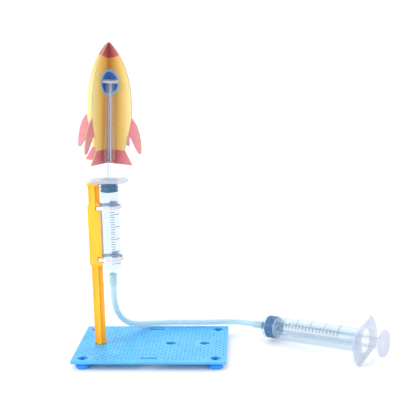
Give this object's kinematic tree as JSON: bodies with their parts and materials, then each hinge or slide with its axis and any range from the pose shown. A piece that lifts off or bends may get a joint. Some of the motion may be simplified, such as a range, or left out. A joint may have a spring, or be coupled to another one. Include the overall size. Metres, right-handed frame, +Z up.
{
  "type": "syringe-launched card model rocket",
  "caption": "Folded-card toy rocket on the plunger of a vertical syringe strapped to a post on a perforated base, joined by a hose to a larger hand syringe",
  "frame": {"origin": "on the floor, under the middle of the model's box without the hose", "axes": "+Z up; +X along the base plate's long side, towards the pump syringe; +Y to the back"},
  "size_m": [0.2134, 0.0729, 0.213],
  "materials": {
    "blue_plate": "satin moulded plastic, sky blue",
    "blue_foot": "satin moulded plastic, deeper blue",
    "amber_post": "glossy moulded plastic, amber yellow",
    "screw_steel": "zinc-plated steel",
    "tie_nylon": "translucent natural nylon",
    "clear_barrel": "clear polypropylene, faintly blue",
    "frosted_rod": "frosted translucent polypropylene",
    "navy_rubber": "glossy moulded rubber",
    "blue_rubber": "glossy moulded rubber",
    "printed_card": "gloss-printed card",
    "hose_pvc": "clear soft PVC, faintly blue"
  },
  "bodies": {
    "stand": {"base_plate": "blue_plate", "foot_front_left": "blue_foot", "foot_front_right": "blue_foot", "foot_back_left": "blue_foot", "foot_back_right": "blue_foot", "post": "amber_post", "post_screw": "screw_steel", "lower_tie": "tie_nylon", "upper_tie": "tie_nylon", "launch_barrel": "clear_barrel", "pump_barrel": "clear_barrel", "air_hose": "hose_pvc", "hose_end_launch": "hose_pvc", "hose_end_pump": "hose_pvc"},
    "launch_piston": {"launch_seal": "navy_rubber"},
    "rocket": {"launch_plunger": "frosted_rod", "rocket_card_front": "printed_card", "rocket_card_right": "printed_card", "rocket_card_back": "printed_card", "rocket_card_left": "printed_card"},
    "pump_piston": {"pump_seal": "blue_rubber"},
    "pump_handle": {"pump_plunger": "frosted_rod"}
  },
  "joints": [
    {"name": "launch_slide", "type": "slide", "parent": "stand", "child": "launch_piston", "axis": [0, 0, 1], "range_m": [-0.008, 0.06]},
    {"name": "rocket_spin", "type": "hinge", "parent": "launch_piston", "child": "rocket", "pos_m": [-0.0809, 0, 0.1178], "axis": [0.0506, 0, 0.9987], "continuous": true},
    {"name": "pump_slide", "type": "slide", "parent": "stand", "child": "pump_piston", "axis": [0.8399, -0.5392, 0.0628], "range_m": [0, 0.055]},
    {"name": "pump_spin", "type": "hinge", "parent": "pump_piston", "child": "pump_handle", "pos_m": [0.0259, 0.0238, 0.00982], "axis": [0.8399, -0.5392, 0.0628], "continuous": true}
  ]
}
